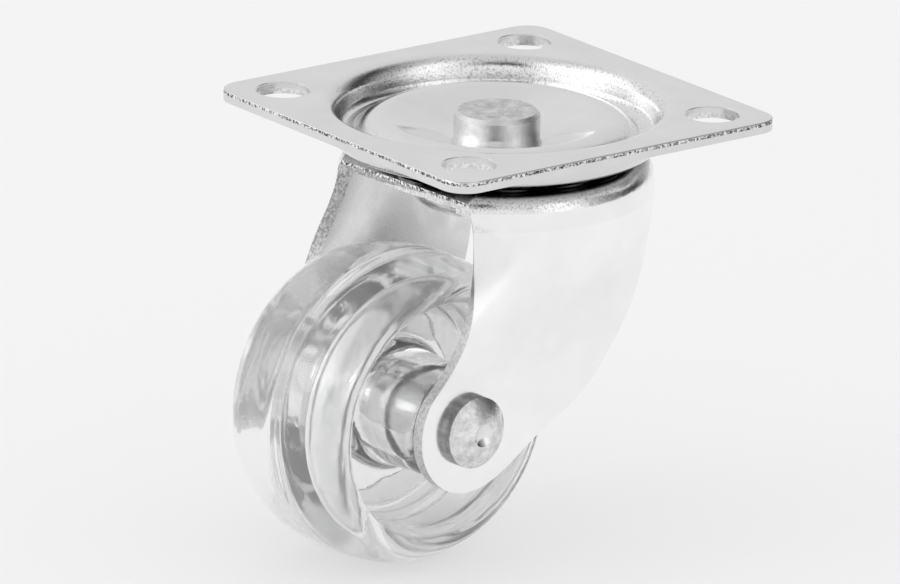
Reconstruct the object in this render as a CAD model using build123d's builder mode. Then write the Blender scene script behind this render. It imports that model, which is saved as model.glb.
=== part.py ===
from math import asin, atan2, cos, degrees, hypot, radians, sin, sqrt, tan
import os

from build123d import *

os.makedirs("parts", exist_ok=True)

# Swivel plate castor with a clear wheel. Millimetres, +Z up.
# Origin: the middle of the plate's top face, on the swivel axis.
# The fork is drawn at the swivel angle it has in the photograph.
swivel_angle = -175.65

# Top plate
plate_side = 38.0
plate_thickness = 1.1
plate_corner_radius = 2.5
plate_edge_round = 0.15
screw_hole_spacing = 28.6
screw_hole_radius = 2.5
screw_hole_bevel = 0.12

# Drawn dish in the plate, all on the sheet's upper face: inside radii for the valleys
ring_floor_depth = 2.85
centre_floor_depth = 2.9
centre_floor_radius = 4.9
dish_wall_foot_radius = 14.75
dish_wall_lean = 0.55
dish_rim_bend = 1.6
dish_foot_bend = 0.9
ridge_crest_depth = 1.3
ridge_slope_angle = 48.0
ridge_foot_bend = 0.8
centre_floor_bend = 3.0

# Ball races
ball_radius = 1.5
ball_clearance = 0.03
upper_ball_count = 12
upper_race_radius = 10.8
upper_channel_spare = 0.1
race_slope_angle = 42.0
race_half_run = 1.46
race_shoulder_bend = 0.1
lower_ball_count = 7
lower_race_radius = 5.6
cup_thickness = 1.0
cup_wall_gap = 0.15
cup_bend = 1.0
cup_rim_gap = 0.8
cup_edge_bevel = 0.2

# Kingpin
pin_head_radius = 4.06
pin_head_drop = 0.75
pin_head_bevel = 0.35
pin_dimple_radius = 2.2
pin_dimple_depth = 0.15
pin_neck_radius = 2.5
pin_body_radius = 3.0
pin_tail_radius = 2.2
pin_foot_radius = 3.5
pin_foot_height = 1.0
pin_foot_bevel = 0.5

# Fork, one pressed sheet: a round crown that flows into two flat-ended legs
fork_thickness = 1.2
crown_radius = 14.8
crown_half_length = 11.5
crown_skirt = 0.2
crown_inside_bend = 0.8
crown_hole_clearance = 0.3
boss_gap = 0.3
cut_roll_start = 9.3
cut_roll_entry = 0.1
cut_roll_drop = 0.9
cut_roll_radius = 3.6
cut_edge_thickness = 0.8
leg_offset = 11.4
leg_end_radius = 6.0
leg_foot_level = -23.5
leg_foot_end = -36.0
leg_foot_front = 22.0
leg_foot_rear = -12.0
# Outer face of a leg at each level: front corner, rear corner, corner offset, middle offset
leg_sections = [
    (-12.0, 13.2, -11.6, 10.1, 14.2),
    (-17.0, 17.0, -11.8, 10.9, 12.9),
    (-20.0, 19.5, -11.9, 11.25, 11.95),
]
# Cut edges of a leg: trail, level, outer face's offset, and the cut's lean per millimetre outward
leg_front_edge = [
    (11.45, -9.0, 9.7, 0.84), (11.75, -11.3, 10.3, 0.70), (12.35, -14.0, 10.9, 0.44),
    (13.4, -17.0, 11.3, 0.19), (14.9, -19.8, 11.4, 0.07),
]
leg_rear_edge = [
    (9.3, -31.8, 11.4, 0.0), (5.8, -29.65, 11.4, 0.0), (2.2, -27.6, 11.4, 0.0),
    (-1.5, -25.4, 11.4, 0.0), (-4.2, -22.4, 11.4, 0.0), (-6.1, -19.0, 11.6, -0.05),
    (-7.4, -15.2, 12.0, -0.28), (-8.6, -11.2, 11.8, -0.55), (-10.1, -8.6, 10.6, -0.70),
]
leg_top_lean = 0.45
leg_arc_start = 40.0
leg_arc_middle = -30.0
leg_arc_end = -100.0
leg_cut_inside = 8.0
leg_cut_outside = 15.5

# Axle rivet
axle_trail = 12.9
axle_drop = 26.7
axle_radius = 2.5
axle_neck_radius = 2.0
axle_head_radius = 3.4
axle_head_side = 0.9
axle_dome_height = 1.1
axle_dimple_radius = 1.1
axle_dimple_depth = 0.35
far_head_radius = 3.3
far_head_height = 1.3
far_head_round = 0.8

# Wheel, one clear moulding
wheel_radius = 14.85
wheel_half_width = 7.7
tread_half_width = 6.0
tread_edge_drop = 1.0
tread_crown_half = 3.0
tread_crown_drop = 0.13
tread_line_half_width = 0.3
tread_line_depth = 0.12
shoulder_foot_radius = 12.0
rim_inner_radius = 11.3
rim_foot_radius = 10.7
web_half_thickness = 1.3
hub_end_radius = 5.3
hub_foot_radius = 5.6
hub_side_gap = 0.6
hub_end_bevel = 0.3
recess_fillet = 0.8
bore_clearance = 0.05

# Levels shared by the parts
ridge_slope = tan(radians(ridge_slope_angle))
ridge_bend = ball_radius + upper_channel_spare + plate_thickness
ridge_middle = -ridge_crest_depth - ridge_bend
cone_run = upper_race_radius - centre_floor_radius
cone_rise = ridge_middle + centre_floor_depth
cone_angle = degrees(atan2(cone_rise, cone_run) + asin(ridge_bend / hypot(cone_run, cone_rise)))
ridge_reach = ridge_bend / cos(radians((ridge_slope_angle + cone_angle) / 2))
ridge_apex_tilt = radians((ridge_slope_angle - cone_angle) / 2)
ridge_apex_radius = upper_race_radius + ridge_reach * sin(ridge_apex_tilt)
ridge_apex = ridge_middle + ridge_reach * cos(ridge_apex_tilt)
upper_ball_level = -ridge_crest_depth - plate_thickness - ball_clearance - ball_radius
race_bend = ball_radius + upper_channel_spare
race_floor = upper_ball_level - ball_radius - ball_clearance
race_apex = race_floor - race_bend * (1 / cos(radians(race_slope_angle)) - 1)
race_slope = tan(radians(race_slope_angle))
flange_top = race_apex + race_half_run * race_slope
shoulder_bend = crown_inside_bend + fork_thickness
leg_top = flange_top - shoulder_bend - crown_skirt
leg_top_offset = sqrt(crown_radius**2 - crown_half_length**2)
boss_top = -centre_floor_depth - plate_thickness - boss_gap
boss_underside = boss_top - fork_thickness
boss_radius = upper_race_radius - (boss_top - race_apex) / race_slope
lower_ball_level = boss_underside - ball_clearance - ball_radius
cup_top = lower_ball_level - ball_radius - ball_clearance
cup_underside = cup_top - cup_thickness
cup_wall_radius = lower_race_radius + ball_radius + cup_wall_gap
leg_inner_face = leg_offset - fork_thickness
hub_half_length = leg_inner_face - hub_side_gap

# Frames: the fork's X runs along the trail, its Y towards the domed axle head
fork_frame = Plane.XY.rotated((0, 0, swivel_angle))
side_frame = Plane((0, 0, 0), x_dir=fork_frame.x_dir, z_dir=-fork_frame.y_dir)
axle_point = fork_frame.from_local_coords((axle_trail, 0, -axle_drop))
axle_frame = Plane(axle_point, x_dir=fork_frame.y_dir, z_dir=fork_frame.x_dir)
axle_axis = Axis(axle_point, fork_frame.y_dir)

# Top plate: a sheet drawn round the swivel axis, then blanked square
plate_corners = [
    (centre_floor_radius, -centre_floor_depth),
    (ridge_apex_radius, ridge_apex),
    (ridge_apex_radius + (ridge_apex + ring_floor_depth) / ridge_slope, -ring_floor_depth),
    (dish_wall_foot_radius, -ring_floor_depth),
    (dish_wall_foot_radius + dish_wall_lean, 0),
]
plate_bends = [centre_floor_bend, ridge_bend, ridge_foot_bend, dish_foot_bend, dish_rim_bend]
with BuildPart() as top_plate:
    with BuildSketch(Plane.XZ):
        with BuildLine() as plate_line:
            Polyline((pin_neck_radius, -centre_floor_depth), *plate_corners, (plate_side, 0))
            for corner, bend in zip(plate_corners, plate_bends):
                fillet(plate_line.vertices().sort_by_distance(corner)[0], bend)
            offset(amount=plate_thickness, side=Side.RIGHT, kind=Kind.INTERSECTION)
        make_face()
    revolve(axis=Axis.Z)
    with BuildSketch(Plane.XY):
        RectangleRounded(plate_side, plate_side, plate_corner_radius)
    extrude(amount=-plate_side, mode=Mode.INTERSECT)
    plate_top = top_plate.faces().filter_by(Axis.Z).sort_by(Axis.Z)[-1]
    fillet(plate_top.outer_wire().edges(), plate_edge_round)
    with BuildSketch(Plane.XY):
        with GridLocations(screw_hole_spacing, screw_hole_spacing, 2, 2):
            Circle(screw_hole_radius)
    extrude(amount=-plate_thickness, mode=Mode.SUBTRACT)
    top_circles = top_plate.edges().filter_by(GeomType.CIRCLE).group_by(Axis.Z)[-1]
    hole_rims = [rim for rim in top_circles if abs(rim.radius - screw_hole_radius) < screw_hole_bevel]
    chamfer(hole_rims, screw_hole_bevel)
top_plate.part.label = "top_plate"

# Kingpin: head, neck through the plate, body through the fork, tail closed under the cup
with BuildPart() as kingpin:
    with BuildSketch(Plane.XZ):
        with BuildLine():
            Polyline(
                (0, -pin_head_drop - pin_dimple_depth),
                (pin_dimple_radius, -pin_head_drop),
                (pin_head_radius - pin_head_bevel, -pin_head_drop),
                (pin_head_radius, -pin_head_drop - pin_head_bevel),
                (pin_head_radius, -centre_floor_depth),
                (pin_neck_radius, -centre_floor_depth),
                (pin_neck_radius, -centre_floor_depth - plate_thickness),
                (pin_body_radius, -centre_floor_depth - plate_thickness),
                (pin_body_radius, cup_top),
                (pin_tail_radius, cup_top),
                (pin_tail_radius, cup_underside),
                (pin_foot_radius, cup_underside),
                (pin_foot_radius, cup_underside - pin_foot_height),
                (0, cup_underside - pin_foot_height),
                close=True,
            )
        make_face()
    revolve(axis=Axis.Z)
    foot_rim = kingpin.edges().filter_by(GeomType.CIRCLE).sort_by(Axis.Z)[0]
    chamfer(foot_rim, pin_foot_bevel)
kingpin.part.label = "kingpin"

# Ball rows, one above the crown and one under it
with BuildPart() as upper_balls:
    with Locations((0, 0, upper_ball_level)):
        with PolarLocations(upper_race_radius, upper_ball_count):
            Sphere(ball_radius)
upper_balls.part.label = "upper_balls"

with BuildPart() as lower_balls:
    with Locations((0, 0, lower_ball_level)):
        with PolarLocations(lower_race_radius, lower_ball_count):
            Sphere(ball_radius)
lower_balls.part.label = "lower_balls"

# Lower race: a small pressed cup that the kingpin's tail holds under the lower row
with BuildPart() as lower_race_cup:
    with BuildSketch(Plane.XZ):
        with BuildLine() as cup_line:
            Polyline(
                (pin_tail_radius, cup_top),
                (cup_wall_radius, cup_top),
                (cup_wall_radius, boss_underside - cup_rim_gap),
            )
            fillet(cup_line.vertices().sort_by_distance((cup_wall_radius, cup_top))[0], cup_bend)
            offset(amount=cup_thickness, side=Side.RIGHT, kind=Kind.INTERSECTION)
        make_face()
    revolve(axis=Axis.Z)
    cup_rim = lower_race_cup.faces().filter_by(Axis.Z).sort_by(Axis.Z)[-1]
    chamfer(cup_rim.edges(), cup_edge_bevel)
lower_race_cup.part.label = "lower_race_cup"

# Crown: a boss for the lower row, a race pressed in the flange, and the shoulder down to the legs.
# Its outside and its inside are both turned round the swivel axis and rolled down at the straight cuts.
crown_corners = [
    (boss_radius, boss_top),
    (upper_race_radius, race_apex),
    (upper_race_radius + race_half_run, flange_top),
    (crown_radius, flange_top),
]
race_shoulder = race_shoulder_bend + fork_thickness
crown_bends = [race_shoulder, race_bend, race_shoulder, shoulder_bend]
crown_hole_radius = pin_body_radius + crown_hole_clearance
roll_top = flange_top + cut_roll_entry
with BuildPart() as crown_inside:
    with BuildSketch(Plane.XZ):
        with BuildLine() as inside_line:
            Polyline((crown_hole_radius, boss_top), *crown_corners, (crown_radius, leg_top))
            for corner, bend in zip(crown_corners, crown_bends):
                fillet(inside_line.vertices().sort_by_distance(corner)[0], bend)
            offset(amount=fork_thickness, side=Side.RIGHT, kind=Kind.INTERSECTION, closed=False)
            Polyline(
                (crown_radius - fork_thickness, leg_top), (0, leg_top),
                (0, boss_underside), (crown_hole_radius, boss_underside),
            )
        make_face()
    revolve(axis=Axis.Z)
    with BuildSketch(side_frame):
        with BuildLine():
            roll_bottom = flange_top - cut_roll_drop - cut_edge_thickness
            Polyline((0, 0), (cut_roll_start, 0), (cut_roll_start, roll_top - fork_thickness))
            RadiusArc(
                (cut_roll_start, roll_top - fork_thickness), (crown_half_length, roll_bottom), cut_roll_radius
            )
            Polyline(
                (crown_half_length, roll_bottom), (crown_radius, roll_bottom), (crown_radius, leg_top),
                (0, leg_top),
            )
            mirror(about=Plane.YZ)
        make_face()
    extrude(amount=crown_radius, both=True, mode=Mode.INTERSECT)
with BuildPart() as crown:
    with BuildSketch(Plane.XZ):
        with BuildLine() as crown_line:
            Polyline(
                (crown_hole_radius, boss_top), *crown_corners, (crown_radius, leg_top),
                (crown_hole_radius, leg_top), close=True,
            )
            for corner, bend in zip(crown_corners, crown_bends):
                fillet(crown_line.vertices().sort_by_distance(corner)[0], bend)
        make_face()
    revolve(axis=Axis.Z)
    with BuildSketch(side_frame):
        with BuildLine():
            roll_side = flange_top - cut_roll_drop
            Polyline((0, 0), (cut_roll_start, 0), (cut_roll_start, roll_top))
            RadiusArc((cut_roll_start, roll_top), (crown_half_length, roll_side), cut_roll_radius)
            Polyline((crown_half_length, roll_side), (crown_half_length, leg_top), (0, leg_top))
            mirror(about=Plane.YZ)
        make_face()
    extrude(amount=crown_radius, both=True, mode=Mode.INTERSECT)
    add(crown_inside.part, mode=Mode.SUBTRACT)

# Near leg's sheet: lofted from the round crown to a flat foot
form_sections = [
    (leg_top, crown_half_length, -crown_half_length, leg_top_offset, crown_radius),
] + leg_sections
with BuildPart() as near_leg:
    for level, front, rear, corner_offset, middle_offset in form_sections:
        with BuildSketch(fork_frame.offset(level)):
            with BuildLine():
                ThreePointArc(
                    (front, corner_offset), ((front + rear) / 2, middle_offset), (rear, corner_offset)
                )
                offset(amount=fork_thickness, side=Side.LEFT, kind=Kind.INTERSECTION)
            make_face()
    with BuildSketch(fork_frame.offset(leg_foot_level)):
        with BuildLine():
            Line((leg_foot_front, leg_offset), (leg_foot_rear, leg_offset))
            offset(amount=fork_thickness, side=Side.LEFT, kind=Kind.INTERSECTION)
        make_face()
    loft()
    extrude(near_leg.faces().sort_by(Axis.Z)[0], amount=leg_foot_level - leg_foot_end)

# Near leg's outline, cut square to the sheet: front edge, round foot, rear edge
arc_points = [
    (axle_trail + leg_end_radius * cos(radians(angle)), leg_end_radius * sin(radians(angle)) - axle_drop)
    for angle in (leg_arc_start, leg_arc_middle, leg_arc_end)
]
front_rows = [(crown_half_length, leg_top, leg_top_offset, leg_top_lean)] + leg_front_edge
rear_rows = leg_rear_edge + [(-crown_half_length, leg_top, leg_top_offset, -leg_top_lean)]
with BuildPart() as leg_outline:
    for cut_offset in (leg_cut_inside, leg_cut_outside):
        front_points = [
            (trail + (cut_offset - outer_offset) * lean, level)
            for trail, level, outer_offset, lean in front_rows
        ]
        rear_points = [
            (trail + (cut_offset - outer_offset) * lean, level)
            for trail, level, outer_offset, lean in rear_rows
        ]
        with BuildSketch(side_frame.offset(-cut_offset)):
            with BuildLine():
                Spline(*front_points, arc_points[0])
                ThreePointArc(*arc_points)
                Spline(arc_points[-1], *rear_points)
                Line(rear_points[-1], front_points[0])
            make_face()
    loft(ruled=True)
with BuildPart(mode=Mode.PRIVATE) as cut_leg:
    add(near_leg.part)
    add(leg_outline.part, mode=Mode.INTERSECT)

# Fork: the crown and both legs as one pressed sheet, with the axle's rivet holes
with BuildPart() as fork:
    add(crown.part)
    with BuildSketch(Plane.XZ):
        with Locations((upper_race_radius, upper_ball_level)):
            Circle(ball_radius + ball_clearance)
    revolve(axis=Axis.Z, mode=Mode.SUBTRACT)
    add(cut_leg.part)
    add(cut_leg.part.mirror(side_frame))
    with BuildSketch(side_frame):
        with Locations((axle_trail, -axle_drop)):
            Circle(axle_neck_radius)
    extrude(amount=2 * leg_offset, both=True, mode=Mode.SUBTRACT)
fork.part.label = "fork"

# Axle rivet: a plain shaft with shoulders, a domed near head and a rounded far head
dome_radius = (axle_head_radius**2 + axle_dome_height**2) / (2 * axle_dome_height)
dome_base = leg_offset + axle_head_side
dome_top = dome_base + axle_dome_height
dome_side = dome_top - dome_radius + sqrt(dome_radius**2 - (axle_head_radius / 2) ** 2)
dimple_ball_radius = (axle_dimple_radius**2 + axle_dimple_depth**2) / (2 * axle_dimple_depth)
with BuildPart() as axle:
    with BuildSketch(axle_frame):
        with BuildLine():
            ThreePointArc(
                (dome_top, 0), (dome_side, axle_head_radius / 2), (dome_base, axle_head_radius)
            )
            Polyline(
                (dome_base, axle_head_radius),
                (leg_offset, axle_head_radius),
                (leg_offset, axle_neck_radius),
                (leg_inner_face, axle_neck_radius),
                (leg_inner_face, axle_radius),
                (-leg_inner_face, axle_radius),
                (-leg_inner_face, axle_neck_radius),
                (-leg_offset, axle_neck_radius),
                (-leg_offset, far_head_radius),
                (-leg_offset - far_head_height, far_head_radius),
                (-leg_offset - far_head_height, 0),
                (dome_top, 0),
            )
        make_face()
    revolve(axis=axle_axis)
    far_face = axle.faces().filter_by(GeomType.PLANE).sort_by(axle_axis)[0]
    fillet(far_face.edges(), far_head_round)
    dimple_ball_offset = dome_top - axle_dimple_depth + dimple_ball_radius
    with Locations(axle_frame.location * Location((dimple_ball_offset, 0, 0))):
        Sphere(dimple_ball_radius, mode=Mode.SUBTRACT)
axle.part.label = "axle"

# Wheel: crowned tread, open side recesses, a thin web and a long hub in one moulding
with BuildPart() as wheel:
    with BuildSketch(axle_frame):
        with BuildLine() as wheel_line:
            Line((0, wheel_radius - tread_line_depth), (tread_line_half_width, wheel_radius))
            Spline(
                (tread_line_half_width, wheel_radius),
                (tread_crown_half, wheel_radius - tread_crown_drop),
                (tread_half_width, wheel_radius - tread_edge_drop),
                (wheel_half_width, shoulder_foot_radius),
                tangents=((1, 0), (0, -1)),
            )
            Polyline(
                (wheel_half_width, shoulder_foot_radius),
                (wheel_half_width, rim_inner_radius),
                (web_half_thickness, rim_foot_radius),
                (web_half_thickness, hub_foot_radius),
                (hub_half_length - hub_end_bevel, hub_end_radius),
                (hub_half_length, hub_end_radius - hub_end_bevel),
                (hub_half_length, axle_radius + bore_clearance),
                (0, axle_radius + bore_clearance),
            )
            for foot_radius in (rim_foot_radius, hub_foot_radius):
                recess_corner = wheel_line.vertices().sort_by_distance((web_half_thickness, foot_radius))[0]
                fillet(recess_corner, recess_fillet)
            mirror(about=Plane.YZ)
        make_face()
    revolve(axis=axle_axis)
wheel.part.label = "wheel"

export_step(top_plate.part, "parts/top_plate.step")
export_step(kingpin.part, "parts/kingpin.step")
export_step(upper_balls.part, "parts/upper_balls.step")
export_step(lower_balls.part, "parts/lower_balls.step")
export_step(lower_race_cup.part, "parts/lower_race_cup.step")
export_step(fork.part, "parts/fork.step")
export_step(axle.part, "parts/axle.step")
export_step(wheel.part, "parts/wheel.step")
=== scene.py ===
import math

import bmesh
import bpy
from mathutils import Matrix, Vector


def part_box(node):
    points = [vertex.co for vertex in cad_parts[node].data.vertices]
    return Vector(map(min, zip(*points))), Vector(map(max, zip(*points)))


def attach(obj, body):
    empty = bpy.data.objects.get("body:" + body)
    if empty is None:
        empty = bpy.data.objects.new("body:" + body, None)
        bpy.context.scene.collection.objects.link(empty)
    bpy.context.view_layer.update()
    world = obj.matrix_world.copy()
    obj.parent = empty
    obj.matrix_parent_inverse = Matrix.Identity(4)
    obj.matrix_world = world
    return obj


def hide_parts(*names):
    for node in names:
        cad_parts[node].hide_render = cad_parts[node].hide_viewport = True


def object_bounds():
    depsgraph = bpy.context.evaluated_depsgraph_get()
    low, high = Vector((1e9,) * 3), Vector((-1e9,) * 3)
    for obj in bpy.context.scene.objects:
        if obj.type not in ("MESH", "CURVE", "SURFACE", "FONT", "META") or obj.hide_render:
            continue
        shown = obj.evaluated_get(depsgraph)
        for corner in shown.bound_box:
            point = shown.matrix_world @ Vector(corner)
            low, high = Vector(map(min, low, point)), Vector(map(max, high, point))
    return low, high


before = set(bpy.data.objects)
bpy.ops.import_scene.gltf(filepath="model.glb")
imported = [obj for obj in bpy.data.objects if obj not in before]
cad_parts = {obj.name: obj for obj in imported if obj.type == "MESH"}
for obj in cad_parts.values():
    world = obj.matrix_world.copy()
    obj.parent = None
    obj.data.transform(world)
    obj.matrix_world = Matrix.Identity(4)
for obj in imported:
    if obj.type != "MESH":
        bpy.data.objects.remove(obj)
cad_low, cad_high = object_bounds()

# Where the castor's solids are, in metres, and which way its fork trails and its axle points
MM = 0.001
SWIVEL_ANGLE = math.radians(-175.65)
TRAIL_WAY = Vector((math.cos(SWIVEL_ANGLE), math.sin(SWIVEL_ANGLE), 0))
AXLE_WAY = Vector((-math.sin(SWIVEL_ANGLE), math.cos(SWIVEL_ANGLE), 0))
wheel_low, wheel_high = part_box("wheel")
AXLE_POINT = (Vector(wheel_low) + Vector(wheel_high)) / 2
FLOOR_LEVEL = wheel_low[2]
HALF_SIDE = (cad_high.y - cad_low.y) / 2
NODE_BODY = {
    "top_plate": "base", "kingpin": "base", "lower_race_cup": "base",
    "fork": "swivel_fork", "axle": "swivel_fork", "wheel": "wheel_body",
    "upper_balls": "upper_ball_row", "lower_balls": "lower_ball_row",
}

# Noise of the finishes: scale per metre, detail, roughness
CLOUD_NOISE = (160, 2.0, 0.6)
PATCH_NOISE = (420, 3.0, 0.6)
SPECK_NOISE = (4200, 2.0, 0.8)
GRAIN_NOISE = (3400, 3.0, 0.7)
TEAR_NOISE = (3600, 3.0, 0.7)
MOTTLE_NOISE = (900, 4.0, 0.7)
PIT_NOISE = (2600, 3.0, 0.7)
RIPPLE_ROUGHNESS = 0.6

# How far the noise moves a finish's tone and roughness, and how deep its bumps are
CLOUD_SPREAD, GLOSS_SPREAD, PIT_DULLNESS = 0.03, 0.06, 0.1
GRAIN_DEPTH, TEAR_DEPTH, CUT_DEPTH = 0.06 * MM, 0.15 * MM, 0.01 * MM
PIT_DEPTH, RIPPLE_DEPTH = 0.05 * MM, 0.1 * MM
FLAT_GRAIN = 0.05
CLEAR_TINT = (0.99, 0.992, 0.992, 1)
PLASTIC_IOR = 1.49

# Stops by how far a face looks up, from 0 for upright and hanging faces to 1 for level ones:
# BEND is how much of the grain and the specks shows there; PAINTED_SHADE is painted shade, how
# bright the sheet stays: darker on the dish's upright and hanging faces and on the crown's level
# top
DISH_BEND_STOPS = [(0.0, 0.0), (0.03, 1.0), (0.75, 1.0), (0.94, 0.0)]
DISH_PAINTED_SHADE_STOPS = [(0.0, 0.8), (0.05, 1.0), (1.0, 1.0)]
FORK_BEND_STOPS = [(0.1, 0.0), (0.35, 1.0), (0.85, 1.0), (0.97, 0.0)]
CROWN_PAINTED_SHADE_STOPS = [(0.0, 1.0), (0.55, 1.0), (0.78, 0.5), (0.95, 0.2)]
SMOOTH_STOPS = [(0.0, 0.0), (1.0, 0.0)]
NO_PAINTED_SHADE_STOPS = [(0.0, 1.0), (1.0, 1.0)]
# Stops by the speck noise: how bright the sheet stays in a speck
DISH_SPECK_STOPS = [(0.36, 0.6), (0.44, 0.94), (0.5, 1.0)]
FORK_SPECK_STOPS = [(0.36, 0.6), (0.46, 0.92), (0.54, 1.0)]

# Ripples in the plastic: scale per metre, share of it that is left round the wheel, detail,
# strength of the bumps
MOULDED_RIPPLES = (300, 1.0, 4.0, 0.35)
WORN_RIPPLES = (700, 0.2, 1.6, 0.21)

# Meshes: how close two points are one, and how sharp an edge stays an edge
COPY_MERGE, SPIN_MERGE = 0.001 * MM, 0.0005 * MM
COPY_SMOOTH, WHEEL_SMOOTH, AXLE_SMOOTH = math.radians(30), math.radians(40), math.radians(25)
CUT_SHARP = math.radians(35)
FLAT_LIMIT = 0.9999

# Plate: the torn band on its rim, and its screw holes
RIM_TEAR_TOP, RIM_TEAR_FOOT, RIM_REACH = -0.12 * MM, -0.42 * MM, 2 * MM
HOLE_PLACE, HOLE_REACH, HOLE_BRIGHT_TOP = 14.3 * MM, 2.8 * MM, -0.6 * MM

# Fork: the crown's straight cuts, how low their torn part reaches, and how low the crown does
CROWN_HALF_LENGTH, CUT_SLACK = 11.5 * MM, 0.05 * MM
CROWN_TEAR_FOOT, CROWN_FOOT = -5.95 * MM, -8.2 * MM
CUT_STRIP_AREA = 130 * MM**2

# A face is a wall while less than this share of its normal points along the piece's own axis
RIM_LEAN, PIN_LEAN, HOLE_LEAN, HEAD_LEAN = 0.9, 0.9, 0.5, 0.3

# Wheel and axle, in millimetres along the axle and out from it
WHEEL_STEPS, AXLE_STEPS = 160, 96
TREAD_EDGE_RADIUS = 12.6
AXLE_RADIUS, AXLE_NECK_RADIUS, AXLE_SHAFT_END = 2.5, 2.0, 10.2
LEG_FACE = 11.4
HEAD_RADIUS, HEAD_SIDE, DOME_HEIGHT, DOME_STEPS = 3.4, 0.9, 1.1, 16
DIMPLE_RADIUS, DIMPLE_DEPTH, DIMPLE_STEPS = 1.1, 0.35, 6
FAR_HEAD_RADIUS, FAR_HEAD_HEIGHT, FAR_HEAD_ROUND, FAR_ROUND_STEPS = 3.3, 1.3, 0.8, 6

# Studio: a pale floor, one soft lamp, and a pale room
FLOOR_SIZE = 3.0
FLOOR_GREY, FLOOR_GLOW, FLOOR_ROUGHNESS, FLOOR_SHEEN = 0.42, 0.505, 0.9, 0.1
ROOM_GREY = 0.9
# Round the horizon from -X through -Y, +X and +Y: where along the turn, and how bright
ROUND_STOPS = [
    (0.0, 1.25), (0.06, 1.0), (0.09, 0.05), (0.15, 0.06), (0.2, 0.5), (0.24, 0.95),
    (0.28, 1.1), (0.31, 1.1), (0.36, 0.5), (0.42, 0.25), (0.46, 0.03), (0.5, 0.1),
    (0.56, 0.65), (0.8, 0.8), (0.86, 1.2), (1.0, 1.25),
]
# The low light and the ceiling: by how nearly a ray points at each, how much of it is seen
LOW_LIGHT_WAY = Vector((-0.6, -0.79, 0.14)).normalized()
LOW_LIGHT_GREY, LOW_LIGHT_STOPS = 0.85, [(0.84, 0.0), (0.93, 1.0)]
CEILING_GREY, CEILING_STOPS = 0.62, [(0.7, 0.0), (0.95, 1.0)]
# How much of the studio's pattern is seen through the plastic, where metal sees all of it
THROUGH_PLASTIC = 0.45

# Camera: solved on the plate's edges, its four round holes and the kingpin's head
CAMERA_AZIMUTH = math.radians(-37.81)
CAMERA_HEIGHT_ANGLE = math.radians(17.69)
CAMERA_ROLL = math.radians(1.19)
CAMERA_DISTANCE = 1.12040
CAMERA_ASIDE = -0.004427
CAMERA_ABOVE = -0.017735
LENS_LENGTH, SENSOR_WIDTH = 480, 36


def plain_grey(value):
    """A grey as a colour socket takes it."""
    return (value, value, value, 1)


def new_finish(name, metallic=0.0):
    """A fresh material, its node tree and its shader."""
    material = bpy.data.materials.new(name)
    material.use_nodes = True
    shader = material.node_tree.nodes["Principled BSDF"]
    shader.inputs["Metallic"].default_value = metallic
    return material, material.node_tree, shader


def noise(tree, place, scale, detail, roughness):
    """A noise pattern on the given coordinates."""
    pattern = tree.nodes.new("ShaderNodeTexNoise")
    pattern.inputs["Scale"].default_value = scale
    pattern.inputs["Detail"].default_value = detail
    pattern.inputs["Roughness"].default_value = roughness
    tree.links.new(place, pattern.inputs["Vector"])
    return pattern.outputs["Fac"]


def own_noise(tree, pattern):
    """A noise pattern on the piece's own coordinates."""
    return noise(tree, tree.nodes.new("ShaderNodeTexCoord").outputs["Object"], *pattern)


def ramp(tree, source, stops):
    """Greys along a ramp, from pairs of position and grey."""
    steps = tree.nodes.new("ShaderNodeValToRGB")
    for element, (position, grey) in zip(steps.color_ramp.elements, (stops[0], stops[-1])):
        element.position, element.color = position, plain_grey(grey)
    for position, grey in stops[1:-1]:
        steps.color_ramp.elements.new(position).color = plain_grey(grey)
    tree.links.new(source, steps.inputs["Fac"])
    return steps.outputs["Color"]


def blend(tree, share, first, second, kind="MIX"):
    """Two tones brought together; each value is a plain number or another node's output."""
    mix = tree.nodes.new("ShaderNodeMix")
    mix.data_type, mix.blend_type = "RGBA", kind
    for name, value in (("Factor", share), ("A", first), ("B", second)):
        socket = mix.inputs[name]
        if not isinstance(value, float):
            tree.links.new(value, socket)
        else:
            socket.default_value = value if name == "Factor" else plain_grey(value)
    return mix.outputs["Result"]


def scaled(tree, source, factor, offset):
    """A value times a factor plus an offset; the offset is a number or another node's output."""
    sum_node = tree.nodes.new("ShaderNodeMath")
    sum_node.operation = "MULTIPLY_ADD"
    tree.links.new(source, sum_node.inputs[0])
    sum_node.inputs[1].default_value = factor
    if isinstance(offset, float):
        sum_node.inputs[2].default_value = offset
    else:
        tree.links.new(offset, sum_node.inputs[2])
    return sum_node.outputs["Value"]


def add_bumps(tree, shader, height, strength, depth):
    """Bumps in the shading; the strength is a number or another node's output."""
    bump = tree.nodes.new("ShaderNodeBump")
    if isinstance(strength, float):
        bump.inputs["Strength"].default_value = strength
    else:
        tree.links.new(strength, bump.inputs["Strength"])
    bump.inputs["Distance"].default_value = depth
    tree.links.new(height, bump.inputs["Height"])
    tree.links.new(bump.outputs["Normal"], shader.inputs["Normal"])


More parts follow.
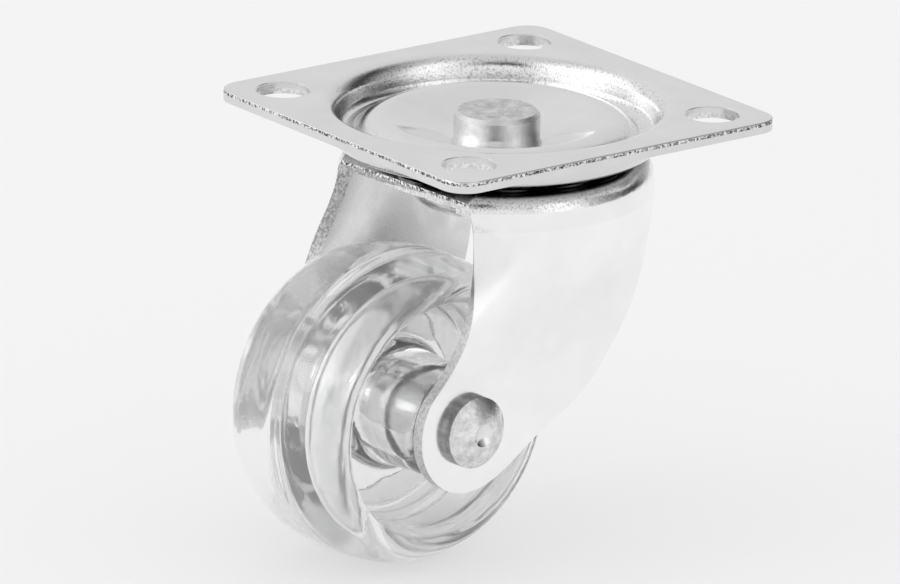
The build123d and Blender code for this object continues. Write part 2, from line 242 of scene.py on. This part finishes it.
def zinc_sheet(name, grey, roughness, grain, bend_stops, speck_stops, painted_shade_stops):
    """Bright zinc on pressed sheet: satin, and grained and specked on bends that look up; its
    tone by how far a face looks up is painted shade.
    """
    material, tree, shader = new_finish(name, metallic=1.0)
    parts = tree.nodes.new("ShaderNodeSeparateXYZ")
    surface = tree.nodes.new("ShaderNodeNewGeometry")
    tree.links.new(surface.outputs["Normal"], parts.inputs["Vector"])
    on_bend = ramp(tree, parts.outputs["Z"], bend_stops)
    tones = [(0.3, grey - CLOUD_SPREAD), (0.7, grey + CLOUD_SPREAD)]
    clouded = ramp(tree, own_noise(tree, CLOUD_NOISE), tones)
    specks = ramp(tree, own_noise(tree, SPECK_NOISE), speck_stops)
    specked = blend(tree, on_bend, clouded, specks, "MULTIPLY")
    # Painted shade: the sheet is darkened by how far its face looks up
    painted_shade_tone = ramp(tree, parts.outputs["Z"], painted_shade_stops)
    tree.links.new(blend(tree, 1.0, specked, painted_shade_tone, "MULTIPLY"), shader.inputs["Base Color"])
    glosses = [(0.35, roughness - GLOSS_SPREAD), (0.65, roughness + GLOSS_SPREAD)]
    gloss = ramp(tree, own_noise(tree, PATCH_NOISE), glosses)
    tree.links.new(gloss, shader.inputs["Roughness"])
    strength = scaled(tree, on_bend, grain, FLAT_GRAIN)
    add_bumps(tree, shader, own_noise(tree, GRAIN_NOISE), strength, GRAIN_DEPTH)
    return material


def sheared_edge(name, darkest, lightest, roughness, depth):
    """The sparkling edge that a blanking tool leaves on the sheet, torn or burnished."""
    material, tree, shader = new_finish(name, metallic=1.0)
    shader.inputs["Roughness"].default_value = roughness
    tears = own_noise(tree, TEAR_NOISE)
    stops = [(0.4, darkest), (0.5, (darkest + lightest) / 2), (0.58, lightest)]
    tree.links.new(ramp(tree, tears, stops), shader.inputs["Base Color"])
    add_bumps(tree, shader, tears, 1.0, depth)
    return material


def tumbled_steel(name, grey, mottle, roughness):
    """Rivet steel: mottled grey, duller where it is dark, with small pits."""
    material, tree, shader = new_finish(name, metallic=1.0)
    cloud = own_noise(tree, MOTTLE_NOISE)
    tones = [(0.32, grey - mottle), (0.5, grey), (0.68, grey + mottle)]
    tree.links.new(ramp(tree, cloud, tones), shader.inputs["Base Color"])
    gloss = ramp(tree, cloud, [(0.3, roughness + PIT_DULLNESS), (0.7, roughness)])
    tree.links.new(gloss, shader.inputs["Roughness"])
    add_bumps(tree, shader, own_noise(tree, PIT_NOISE), min(1.0, 4 * mottle), PIT_DEPTH)
    return material


def clear_plastic(name, clearness, roughness, ripples):
    """Clear moulded plastic with faint ripples, drawn out round the wheel where it is worn."""
    scale, share_round_wheel, detail, strength = ripples
    material, tree, shader = new_finish(name)
    shader.inputs["Base Color"].default_value = CLEAR_TINT
    shader.inputs["Transmission Weight"].default_value = clearness
    shader.inputs["IOR"].default_value = PLASTIC_IOR
    shader.inputs["Roughness"].default_value = roughness
    place = tree.nodes.new("ShaderNodeTexCoord")
    turned = tree.nodes.new("ShaderNodeVectorRotate")
    turned.rotation_type = "Z_AXIS"
    turned.inputs["Angle"].default_value = -SWIVEL_ANGLE
    tree.links.new(place.outputs["Object"], turned.inputs["Vector"])
    drawn = tree.nodes.new("ShaderNodeMapping")
    drawn.inputs["Scale"].default_value = (share_round_wheel, 1, share_round_wheel)
    tree.links.new(turned.outputs["Vector"], drawn.inputs["Vector"])
    height = noise(tree, drawn.outputs["Vector"], scale, detail, RIPPLE_ROUGHNESS)
    add_bumps(tree, shader, height, strength, RIPPLE_DEPTH)
    return material


zinc = zinc_sheet(
    "zinc_plated_sheet", 0.95, 0.19, 0.9, SMOOTH_STOPS, FORK_SPECK_STOPS, NO_PAINTED_SHADE_STOPS,
)
# The crown's level top is darkened, which is painted shade under the plate
crown_zinc = zinc_sheet(
    "zinc_plated_crown_sheet", 0.92, 0.13, 0.4,
    FORK_BEND_STOPS, FORK_SPECK_STOPS, CROWN_PAINTED_SHADE_STOPS,
)
# The dish's upright and hanging faces are darkened, which is painted shade
dish_zinc = zinc_sheet(
    "zinc_plated_dish_sheet", 0.92, 0.13, 0.3,
    DISH_BEND_STOPS, DISH_SPECK_STOPS, DISH_PAINTED_SHADE_STOPS,
)
torn = sheared_edge("torn_rim_edge", 0.04, 0.95, 0.2, TEAR_DEPTH)
burnished = sheared_edge("burnished_cut_edge", 0.62, 0.88, 0.28, CUT_DEPTH)
shaded_edge = sheared_edge("shaded_cut_edge", 0.3, 0.6, 0.3, CUT_DEPTH)
# Darker grey is painted shade on the rim's sides, the hole walls' tops and the legs' sides
# towards the wheel; the higher roughness is the duller finish
dull_shaded_zinc = zinc_sheet(
    "dull_zinc_painted_shade", 0.74, 0.28, 0.3, SMOOTH_STOPS, FORK_SPECK_STOPS, NO_PAINTED_SHADE_STOPS,
)
rivet = tumbled_steel("tumbled_rivet_steel", 0.7, 0.18, 0.22)
# Lighter grey is a painted highlight on the kingpin's bevel and side; the smaller mottle is the
# turned finish
rivet_side = tumbled_steel("turned_rivet_side_painted_highlight", 0.8, 0.08, 0.3)
# Dark grey on the axle head's side is painted shade
rivet_shade = tumbled_steel("rivet_edge_painted_shade", 0.3, 0.14, 0.3)
shaft = tumbled_steel("drawn_shaft_steel", 0.82, 0.03, 0.12)
# Dark grey is painted shade, so the balls sink into the dark gap under the plate
ball_steel = tumbled_steel("ball_steel_painted_shade", 0.3, 0.1, 0.3)
plastic = clear_plastic("clear_wheel_plastic", 0.92, 0.03, MOULDED_RIPPLES)
tread_plastic = clear_plastic("worn_tread_plastic", 0.82, 0.08, WORN_RIPPLES)


def linked_object(name, data):
    """A new object in the scene, at the origin."""
    thing = bpy.data.objects.new(name, data)
    bpy.context.scene.collection.objects.link(thing)
    return thing


def dressed_copy(node, name, material):
    """A merged, smoothly shaded copy that stands for a CAD node; its flat faces stay flat."""
    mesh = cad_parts[node].data.copy()
    piece = linked_object(name, mesh)
    shape = bmesh.new()
    shape.from_mesh(mesh)
    bmesh.ops.remove_doubles(shape, verts=shape.verts, dist=COPY_MERGE)
    shape.to_mesh(mesh)
    shape.free()
    if "custom_normal" in mesh.attributes:
        mesh.attributes.remove(mesh.attributes["custom_normal"])
    mesh.set_sharp_from_angle(angle=COPY_SMOOTH)
    for face in mesh.polygons:
        level = max(abs(face.normal.z), abs(face.normal.dot(AXLE_WAY)))
        face.use_smooth = level < FLAT_LIMIT
    mesh.materials.clear()
    mesh.materials.append(material)
    even = piece.modifiers.new("even_shading", "WEIGHTED_NORMAL")
    even.mode, even.keep_sharp = "FACE_AREA_WITH_ANGLE", True
    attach(piece, NODE_BODY[node])
    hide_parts(node)
    return piece


plate = dressed_copy("top_plate", "pressed_top_plate", dish_zinc)
pin = dressed_copy("kingpin", "riveted_kingpin", rivet)
cup = dressed_copy("lower_race_cup", "pressed_race_cup", zinc)
upper_row = dressed_copy("upper_balls", "upper_ball_ring", ball_steel)
lower_row = dressed_copy("lower_balls", "lower_ball_ring", ball_steel)
fork = dressed_copy("fork", "pressed_fork", zinc)


def cut_in_two(piece, level):
    """Adds a line of edges round the piece at one height."""
    shape = bmesh.new()
    shape.from_mesh(piece.data)
    everything = shape.verts[:] + shape.edges[:] + shape.faces[:]
    bmesh.ops.bisect_plane(
        shape, geom=everything, plane_co=(0, 0, level), plane_no=(0, 0, 1),
    )
    shape.to_mesh(piece.data)
    shape.free()


def finish_index(piece, finish):
    """Where a finish is in the piece's list; it is added if it isn't there yet."""
    if finish not in list(piece.data.materials):
        piece.data.materials.append(finish)
    return list(piece.data.materials).index(finish)


def mark_plate_rim(piece):
    """A band of the plate's rim is torn, and the rest of the rim is dull, and darker, which is
    painted shade.
    """
    cut_in_two(piece, RIM_TEAR_TOP)
    cut_in_two(piece, RIM_TEAR_FOOT)
    as_torn, as_dull_shaded = finish_index(piece, torn), finish_index(piece, dull_shaded_zinc)
    for face in piece.data.polygons:
        outside = max(abs(face.center.x), abs(face.center.y)) > HALF_SIDE - RIM_REACH
        if outside and abs(face.normal.z) < RIM_LEAN:
            in_band = RIM_TEAR_FOOT < face.center.z < RIM_TEAR_TOP
            face.material_index = as_torn if in_band else as_dull_shaded


def mark_hole_walls(piece):
    """The wall of each screw hole is dull above, and darker there as painted shade, and bright
    below.
    """
    cut_in_two(piece, HOLE_BRIGHT_TOP)
    as_dull_shaded, as_bright = finish_index(piece, dull_shaded_zinc), finish_index(piece, burnished)
    for face in piece.data.polygons:
        away = Vector((abs(face.center.x) - HOLE_PLACE, abs(face.center.y) - HOLE_PLACE))
        if away.length < HOLE_REACH and abs(face.normal.z) < HOLE_LEAN:
            face.material_index = as_bright if face.center.z < HOLE_BRIGHT_TOP else as_dull_shaded


def smooth_regions(shape, sharp_angle):
    """Groups of faces that meet without a sharp edge between them."""
    regions, seen = [], set()
    for first in shape.faces:
        if first in seen:
            continue
        seen.add(first)
        region, waiting = [], [first]
        while waiting:
            face = waiting.pop()
            region.append(face)
            for side in face.edges:
                if len(side.link_faces) != 2 or side.calc_face_angle() > sharp_angle:
                    continue
                for neighbour in side.link_faces:
                    if neighbour not in seen:
                        seen.add(neighbour)
                        waiting.append(neighbour)
        regions.append(region)
    return regions


def mark_fork(piece):
    """The crown, the sides towards the wheel, and the narrow strips across the sheet; the sides
    towards the wheel are darker, which is painted shade.

    The strips are the crown's straight cuts, torn at their top, and the edges of the legs,
    bright on the near leg and shaded on the far one.
    """
    cut_in_two(piece, CROWN_TEAR_FOOT)
    cut_in_two(piece, CROWN_FOOT)
    as_torn, as_near_edge, as_crown, as_far_edge, as_inside = [
        finish_index(piece, finish)
        for finish in (torn, burnished, crown_zinc, shaded_edge, dull_shaded_zinc)
    ]
    for face in piece.data.polygons:
        if face.center.z > CROWN_FOOT:
            face.material_index = as_crown
        elif face.normal.dot(AXLE_WAY) * face.center.dot(AXLE_WAY) < 0:
            face.material_index = as_inside
    shape = bmesh.new()
    shape.from_mesh(piece.data)
    for region in smooth_regions(shape, CUT_SHARP):
        if sum(face.calc_area() for face in region) > CUT_STRIP_AREA:
            continue
        for face in region:
            middle = face.calc_center_median()
            along = abs(middle.dot(TRAIL_WAY))
            if along > CROWN_HALF_LENGTH - CUT_SLACK and middle.z > CROWN_TEAR_FOOT:
                face.material_index = as_torn
            elif middle.dot(AXLE_WAY) > 0:
                face.material_index = as_near_edge
            else:
                face.material_index = as_far_edge
    shape.to_mesh(piece.data)
    shape.free()


def mark_pin_side(piece):
    """The kingpin's side and bevel are turned, and smoother than its hammered top; their lighter
    grey is a painted highlight, the bright rim of the bevel.
    """
    as_side = finish_index(piece, rivet_side)
    for face in piece.data.polygons:
        if abs(face.normal.z) < PIN_LEAN:
            face.material_index = as_side


mark_plate_rim(plate)
mark_hole_walls(plate)
mark_fork(fork)
mark_pin_side(pin)


def arc(middle, radius, first, last, count):
    """Points along an arc; the angles are in degrees from the axle's direction."""
    turns = [math.radians(first + (last - first) * step / count) for step in range(count + 1)]
    return [
        (middle[0] + radius * math.cos(turn), middle[1] + radius * math.sin(turn))
        for turn in turns
    ]


def spun_piece(name, node, body, section, closed, steps, materials, smooth_angle):
    """A section spun round the axle, which stands for a CAD node."""
    shape = bmesh.new()
    corners = [shape.verts.new((0, along * MM, radius * MM)) for along, radius in section]
    pairs = list(zip(corners, corners[1:] + (corners[:1] if closed else [])))
    sides = [shape.edges.new(pair) for pair in pairs]
    bmesh.ops.spin(
        shape, geom=corners + sides, cent=(0, 0, 0), axis=(0, 1, 0), dvec=(0, 0, 0),
        angle=math.tau, steps=steps, use_merge=True,
    )
    bmesh.ops.remove_doubles(shape, verts=shape.verts, dist=SPIN_MERGE)
    bmesh.ops.recalc_face_normals(shape, faces=shape.faces)
    turned = Matrix.Translation(AXLE_POINT) @ Matrix.Rotation(SWIVEL_ANGLE, 4, "Z")
    bmesh.ops.transform(shape, matrix=turned, verts=shape.verts)
    for face in shape.faces:
        face.smooth = True
    mesh = bpy.data.meshes.new(name)
    shape.to_mesh(mesh)
    shape.free()
    mesh.set_sharp_from_angle(angle=smooth_angle)
    for material in materials:
        mesh.materials.append(material)
    piece = linked_object(name, mesh)
    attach(piece, body)
    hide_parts(node)
    return piece


def wheel_section():
    """The wheel's section: one half, from the tread's middle to the bore's, and its mirror."""
    half = [
        # Tread, with a fine groove at its middle
        (0.0, 14.73), (0.3, 14.85), (0.9, 14.85), (1.8, 14.81), (3.0, 14.72), (4.2, 14.52),
        # Round shoulder
        (5.2, 14.22), (6.0, 13.85), (6.7, 13.42), (7.2, 13.0), (7.55, 12.5), (7.68, 12.0),
        # Rim's edge
        (7.7, 11.7), (7.66, 11.42), (7.52, 11.3), (7.3, 11.25),
        # Inside of the rim, and its round into the web
        (6.0, 11.12), (4.5, 10.98), (3.0, 10.85), (2.2, 10.75), (1.7, 10.5), (1.4, 10.15),
        (1.3, 9.8),
        # Web, and its round into the hub
        (1.3, 8.5), (1.3, 7.2), (1.3, 6.5), (1.45, 6.1), (1.75, 5.8), (2.2, 5.62),
        # Outside of the hub
        (4.0, 5.5), (6.0, 5.42), (8.0, 5.36), (9.1, 5.32), (9.42, 5.22), (9.56, 5.05),
        # End of the hub
        (9.6, 4.85), (9.6, 3.6), (9.6, 2.75), (9.5, 2.6), (9.3, 2.55),
        # Bore
        (6.0, 2.55), (3.0, 2.55), (0.0, 2.55),
    ]
    return half + [(-along, radius) for along, radius in reversed(half) if along > 0]


def axle_section():
    """The axle's section: dimple, domed head, shaft and far head."""
    dome_base = LEG_FACE + HEAD_SIDE
    dome_top = dome_base + DOME_HEIGHT
    dome_round = (HEAD_RADIUS**2 + DOME_HEIGHT**2) / (2 * DOME_HEIGHT)
    dimple_round = (DIMPLE_RADIUS**2 + DIMPLE_DEPTH**2) / (2 * DIMPLE_DEPTH)
    dimple_half = math.degrees(math.asin(DIMPLE_RADIUS / dimple_round))
    dimple_lip = math.degrees(math.asin(DIMPLE_RADIUS / dome_round))
    dome_half = math.degrees(math.asin(HEAD_RADIUS / dome_round))
    lip_along = dome_top - dome_round + dome_round * math.cos(math.radians(dimple_lip))
    dimple_middle = (lip_along + dimple_round * math.cos(math.radians(dimple_half)), 0)
    dome_middle = (dome_top - dome_round, 0)
    far_end = -LEG_FACE - FAR_HEAD_HEIGHT
    far_middle = (FAR_HEAD_ROUND - LEG_FACE - FAR_HEAD_HEIGHT, FAR_HEAD_RADIUS - FAR_HEAD_ROUND)
    return [
        *arc(dimple_middle, dimple_round, 180, 180 - dimple_half, DIMPLE_STEPS),
        *arc(dome_middle, dome_round, dimple_lip, dome_half, DOME_STEPS)[1:],
        (LEG_FACE, HEAD_RADIUS), (LEG_FACE, AXLE_NECK_RADIUS),
        (AXLE_SHAFT_END, AXLE_NECK_RADIUS), (AXLE_SHAFT_END, AXLE_RADIUS),
        (-AXLE_SHAFT_END, AXLE_RADIUS), (-AXLE_SHAFT_END, AXLE_NECK_RADIUS),
        (-LEG_FACE, AXLE_NECK_RADIUS), (-LEG_FACE, FAR_HEAD_RADIUS),
        *arc(far_middle, FAR_HEAD_ROUND, 90, 180, FAR_ROUND_STEPS),
        (far_end, 0),
    ]


def from_axle(face):
    """How far a face's middle lies along the axle and out from it, in millimetres."""
    away = face.center - AXLE_POINT
    along = away.dot(AXLE_WAY)
    return along / MM, (away - AXLE_WAY * along).length / MM


wheel = spun_piece(
    "clear_moulded_wheel", "wheel", NODE_BODY["wheel"], wheel_section(), True, WHEEL_STEPS,
    (plastic, tread_plastic), WHEEL_SMOOTH,
)
as_tread = finish_index(wheel, tread_plastic)
for face in wheel.data.polygons:
    if from_axle(face)[1] > TREAD_EDGE_RADIUS:
        face.material_index = as_tread

axle = spun_piece(
    "domed_axle_rivet", "axle", NODE_BODY["axle"], axle_section(), False, AXLE_STEPS,
    (rivet, shaft, rivet_shade), AXLE_SMOOTH,
)
as_shaft, as_shade = finish_index(axle, shaft), finish_index(axle, rivet_shade)
for face in axle.data.polygons:
    along, out = from_axle(face)
    # The head's side gets the dark rivet edge, which is painted shade
    if along > LEG_FACE and abs(face.normal.dot(AXLE_WAY)) < HEAD_LEAN:
        face.material_index = as_shade
    elif abs(along) < LEG_FACE or (along > LEG_FACE and out < DIMPLE_RADIUS):
        face.material_index = as_shaft


def pale_floor():
    """A floor at the wheel's foot, which glows a little so that it stays pale."""
    material, _, shader = new_finish("pale_studio_floor")
    shader.inputs["Base Color"].default_value = plain_grey(FLOOR_GREY)
    shader.inputs["Emission Color"].default_value = plain_grey(FLOOR_GLOW)
    shader.inputs["Emission Strength"].default_value = 1.0
    shader.inputs["Roughness"].default_value = FLOOR_ROUGHNESS
    shader.inputs["Specular IOR Level"].default_value = FLOOR_SHEEN
    shape = bmesh.new()
    bmesh.ops.create_grid(shape, x_segments=1, y_segments=1, size=FLOOR_SIZE)
    bmesh.ops.translate(shape, verts=shape.verts, vec=(0, 0, FLOOR_LEVEL))
    mesh = bpy.data.meshes.new("studio_floor")
    shape.to_mesh(mesh)
    shape.free()
    mesh.materials.append(material)
    linked_object("studio_floor", mesh)


def soft_lamp(name, place, size, watts):
    """A round lamp that points at the origin."""
    lamp = bpy.data.lights.new(name, "AREA")
    lamp.shape, lamp.size, lamp.energy = "DISK", size, watts
    holder = linked_object(name, lamp)
    holder.location = place
    holder.rotation_mode = "QUATERNION"
    holder.rotation_quaternion = (-Vector(place)).to_track_quat("-Z", "Y")


def studio_room():
    """A pale even room; metal and plastic see its softboxes and dark gaps too."""
    room = bpy.data.worlds.new("pale_room")
    bpy.context.scene.world = room
    room.use_nodes = True
    tree = room.node_tree
    way = tree.nodes.new("ShaderNodeTexCoord").outputs["Generated"]
    turn = tree.nodes.new("ShaderNodeTexGradient")
    turn.gradient_type = "RADIAL"
    tree.links.new(way, turn.inputs["Vector"])
    around = ramp(tree, turn.outputs["Fac"], ROUND_STOPS)
    facing = tree.nodes.new("ShaderNodeVectorMath")
    facing.operation = "DOT_PRODUCT"
    facing.inputs[1].default_value = LOW_LIGHT_WAY
    tree.links.new(way, facing.inputs[0])
    low_share = ramp(tree, facing.outputs["Value"], LOW_LIGHT_STOPS)
    with_low_light = blend(tree, low_share, around, LOW_LIGHT_GREY)
    parts = tree.nodes.new("ShaderNodeSeparateXYZ")
    tree.links.new(way, parts.inputs["Vector"])
    overhead = ramp(tree, parts.outputs["Z"], CEILING_STOPS)
    studio = blend(tree, overhead, with_low_light, CEILING_GREY)
    ray = tree.nodes.new("ShaderNodeLightPath").outputs
    seen_share = scaled(tree, ray["Is Transmission Ray"], THROUGH_PLASTIC, ray["Is Glossy Ray"])
    light = blend(tree, seen_share, ROOM_GREY, studio)
    tree.links.new(light, tree.nodes["Background"].inputs["Color"])


pale_floor()
soft_lamp("left_softbox", (-0.8, 0.3, 0.4), 0.5, 0.9)
studio_room()

away = Vector((
    math.sin(CAMERA_AZIMUTH) * math.cos(CAMERA_HEIGHT_ANGLE),
    -math.cos(CAMERA_AZIMUTH) * math.cos(CAMERA_HEIGHT_ANGLE),
    math.sin(CAMERA_HEIGHT_ANGLE),
))
level_right = (-away).cross(Vector((0, 0, 1))).normalized()
level_up = level_right.cross(-away)
right = level_right * math.cos(CAMERA_ROLL) + level_up * math.sin(CAMERA_ROLL)
up = level_up * math.cos(CAMERA_ROLL) - level_right * math.sin(CAMERA_ROLL)
lens = bpy.data.cameras.new("long_lens")
lens.lens, lens.sensor_width, lens.sensor_fit = LENS_LENGTH, SENSOR_WIDTH, "HORIZONTAL"
lens.clip_start, lens.clip_end = 0.05, 20
camera = linked_object("long_lens", lens)
camera.location = away * CAMERA_DISTANCE + right * CAMERA_ASIDE + up * CAMERA_ABOVE
camera.rotation_mode = "QUATERNION"
camera.rotation_quaternion = Matrix((right, up, away)).transposed().to_quaternion()
bpy.context.scene.camera = camera
bpy.context.scene.view_settings.view_transform = "Standard"
